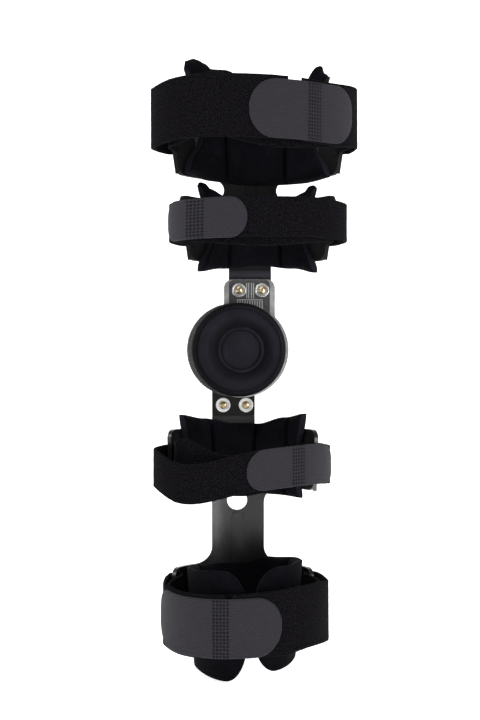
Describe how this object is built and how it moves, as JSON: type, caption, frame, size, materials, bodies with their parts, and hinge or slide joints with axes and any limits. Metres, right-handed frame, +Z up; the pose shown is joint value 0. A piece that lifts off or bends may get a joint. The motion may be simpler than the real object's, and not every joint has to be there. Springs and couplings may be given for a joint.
{
  "type": "hinged knee brace",
  "caption": "Single-sided hinged knee brace with adjustable range of motion, padded cuffs and hook-and-loop straps",
  "frame": {"origin": "on the knee hinge's axis, midway through the calf arm's thickness", "axes": "+Z up the thigh, +X to the front of the leg, +Y out of the leg along the hinge axis"},
  "size_m": [0.1719, 0.1477, 0.498],
  "materials": {
    "shell_plastic": "dark glossy moulded plastic",
    "plate_metal": "satin aluminium, bead blasted",
    "insert_plastic": "stippled grey plastic",
    "steel_bar": "brushed steel",
    "black_metal": "black satin coating",
    "cover_plastic": "satin black plastic",
    "dial_plastic": "pale grey plastic",
    "steel": "turned steel",
    "bronze": "sintered bronze",
    "stop_plastic": "matte plastic",
    "button_plastic": "satin red plastic",
    "washer_metal": "bright turned finish",
    "screw_brass": "worn plated brass",
    "pad_fabric": "moulded foam under smooth black fabric",
    "pad_side_fabric": "fuzzy black loop fabric",
    "hook_tape": "hook tape",
    "liner_fabric": "soft black fabric over foam",
    "strap_loop": "fuzzy black loop webbing",
    "tab_hook": "dark grey woven hook tape"
  },
  "bodies": {
    "thigh": {"condyle_pad_base": "pad_side_fabric", "condyle_pad_front": "pad_fabric", "condyle_pad_hook_disc": "hook_tape", "dial_ring": "dial_plastic", "hook_patches_thigh_lower": "hook_tape", "hook_patches_thigh_upper": "hook_tape", "inner_hinge_plate": "plate_metal", "liner_thigh_lower": "liner_fabric", "liner_thigh_upper": "liner_fabric", "neck_rivet": "steel", "outer_cover": "cover_plastic", "pivot_cap": "steel", "pivot_pin": "steel", "ribbed_insert": "insert_plastic", "strap_thigh_lower": "strap_loop", "strap_thigh_upper": "strap_loop", "tab_thigh_lower": "tab_hook", "tab_thigh_upper": "tab_hook", "thigh_arm": "steel_bar", "thigh_cup_washers": "washer_metal", "thigh_nuts": "steel", "thigh_screws": "screw_brass", "thigh_shell": "shell_plastic", "thrust_washers": "steel_bar"},
    "calf": {"calf_arm": "black_metal", "calf_cup_washers": "washer_metal", "calf_nuts": "steel", "calf_screws": "screw_brass", "calf_shell": "shell_plastic", "hook_patches_calf_lower": "hook_tape", "hook_patches_calf_upper": "hook_tape", "liner_calf_lower": "liner_fabric", "liner_calf_upper": "liner_fabric", "pivot_bush": "bronze", "strap_calf_lower": "strap_loop", "strap_calf_upper": "strap_loop", "tab_calf_lower": "tab_hook", "tab_calf_upper": "tab_hook"},
    "flexion_stop": {"flexion_stop_slider": "stop_plastic", "flexion_stop_spring": "steel"},
    "extension_stop": {"extension_stop_slider": "stop_plastic", "extension_stop_spring": "steel"},
    "flexion_button": {"flexion_stop_button": "button_plastic"},
    "extension_button": {"extension_stop_button": "button_plastic"}
  },
  "joints": [
    {"name": "knee_flexion", "type": "hinge", "parent": "thigh", "child": "calf", "pos_m": [0, 0, 0], "axis": [0, 1, 0], "range_deg": [0, 90]},
    {"name": "flexion_stop_setting", "type": "hinge", "parent": "thigh", "child": "flexion_stop", "pos_m": [0, 0, 0], "axis": [0, 1, 0], "range_deg": [0, 30]},
    {"name": "extension_stop_setting", "type": "hinge", "parent": "thigh", "child": "extension_stop", "pos_m": [0, 0, 0], "axis": [0, 1, 0], "range_deg": [-10, 0]},
    {"name": "flexion_button_press", "type": "slide", "parent": "flexion_stop", "child": "flexion_button", "axis": [0, -1, 0], "range_m": [0, 0.0025], "stiffness_N_per_m": 600, "springref_m": -0.001},
    {"name": "extension_button_press", "type": "slide", "parent": "extension_stop", "child": "extension_button", "axis": [0, -1, 0], "range_m": [0, 0.0025], "stiffness_N_per_m": 600, "springref_m": -0.001}
  ]
}
